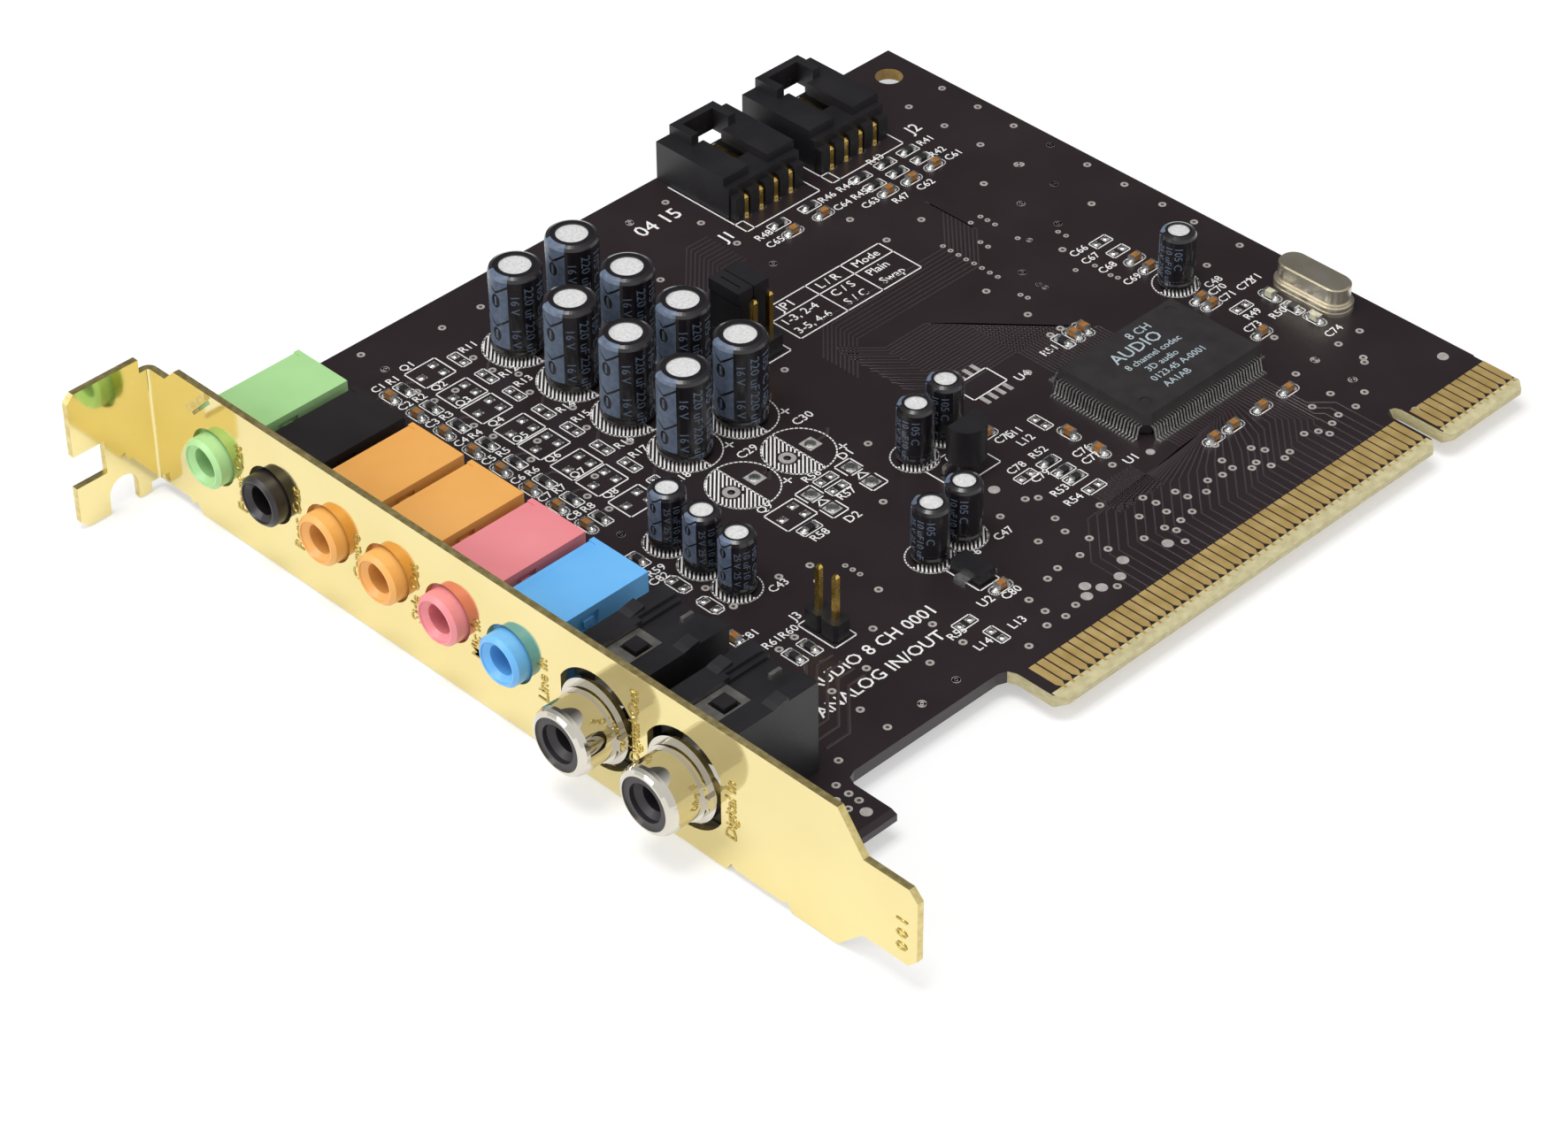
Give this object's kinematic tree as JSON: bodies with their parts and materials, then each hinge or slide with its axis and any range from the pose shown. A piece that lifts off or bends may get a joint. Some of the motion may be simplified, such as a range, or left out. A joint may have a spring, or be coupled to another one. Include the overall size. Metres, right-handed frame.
{
  "type": "sound card",
  "caption": "Internal sound card: short expansion board with a gold-tinted slot bracket, coloured audio jacks, phono sockets, upright capacitors and a square audio chip.",
  "frame": {"origin": "centre of the key notch, on the contact edge, on the component face of the board", "axes": "+X along the board away from the bracket; +Y up the card from the contact edge; +Z out of the component face"},
  "size_m": [0.1325, 0.1206, 0.0184],
  "materials": {
    "dark_laminate": "dark brown solder mask over traces",
    "gold_plate": "thin gold plating",
    "bracket_plate": "bright gold-tinted zinc plating",
    "lime_plastic": "semi-gloss",
    "black_plastic": "semi-gloss",
    "orange_plastic": "semi-gloss",
    "pink_plastic": "semi-gloss",
    "blue_plastic": "semi-gloss",
    "tinned_metal": "tin plated",
    "nickel_plate": "bright nickel",
    "dark_insulator": "matte",
    "chip_resin": "fine matte moulding",
    "crystal_metal": "drawn can, satin",
    "tan_ceramic": "fired ceramic",
    "pale_ceramic": "fired ceramic",
    "resistor_coat": "dark overglaze",
    "sleeve_plastic": "shrunk plastic film",
    "can_aluminium": "bright drawn aluminium"
  },
  "bodies": {
    "root": {"circuit_board": "dark_laminate", "edge_contacts": "gold_plate", "bracket": "bracket_plate", "jack_lime": "lime_plastic", "jack_black": "black_plastic", "jack_orange_1": "orange_plastic", "jack_orange_2": "orange_plastic", "jack_pink": "pink_plastic", "jack_blue": "blue_plastic", "jack_pins": "tinned_metal", "phono_housing_1": "black_plastic", "phono_housing_2": "black_plastic", "phono_shell_1": "nickel_plate", "phono_shell_2": "nickel_plate", "phono_insulator_1": "dark_insulator", "phono_insulator_2": "dark_insulator", "phono_centre_contacts": "gold_plate", "phono_ground_strap_1": "nickel_plate", "phono_ground_strap_2": "nickel_plate", "audio_header_1": "black_plastic", "audio_header_2": "black_plastic", "audio_header_pins": "gold_plate", "jumper_base": "black_plastic", "jumper_pins": "gold_plate", "jumper_shunt_1": "black_plastic", "jumper_shunt_2": "black_plastic", "pin_header_base": "black_plastic", "pin_header_pins": "gold_plate", "audio_chip": "chip_resin", "audio_chip_leads": "tinned_metal", "surface_regulator": "chip_resin", "surface_regulator_leads": "tinned_metal", "round_regulator": "chip_resin", "round_regulator_leads": "tinned_metal", "crystal_can": "crystal_metal", "crystal_base": "crystal_metal", "ceramic_capacitors": "tan_ceramic", "pale_ceramic_capacitors": "pale_ceramic", "ceramic_capacitor_ends": "tinned_metal", "resistors": "resistor_coat", "resistor_ends": "tinned_metal", "large_capacitor_1": "sleeve_plastic", "large_capacitor_2": "sleeve_plastic", "large_capacitor_3": "sleeve_plastic", "large_capacitor_4": "sleeve_plastic", "large_capacitor_5": "sleeve_plastic", "large_capacitor_6": "sleeve_plastic", "large_capacitor_7": "sleeve_plastic", "large_capacitor_8": "sleeve_plastic", "small_capacitor_1": "sleeve_plastic", "small_capacitor_2": "sleeve_plastic", "small_capacitor_3": "sleeve_plastic", "small_capacitor_4": "sleeve_plastic", "small_capacitor_5": "sleeve_plastic", "small_capacitor_6": "sleeve_plastic", "small_capacitor_7": "sleeve_plastic", "small_capacitor_8": "sleeve_plastic", "capacitor_cans": "can_aluminium", "capacitor_leads": "tinned_metal"}
  },
  "joints": []
}
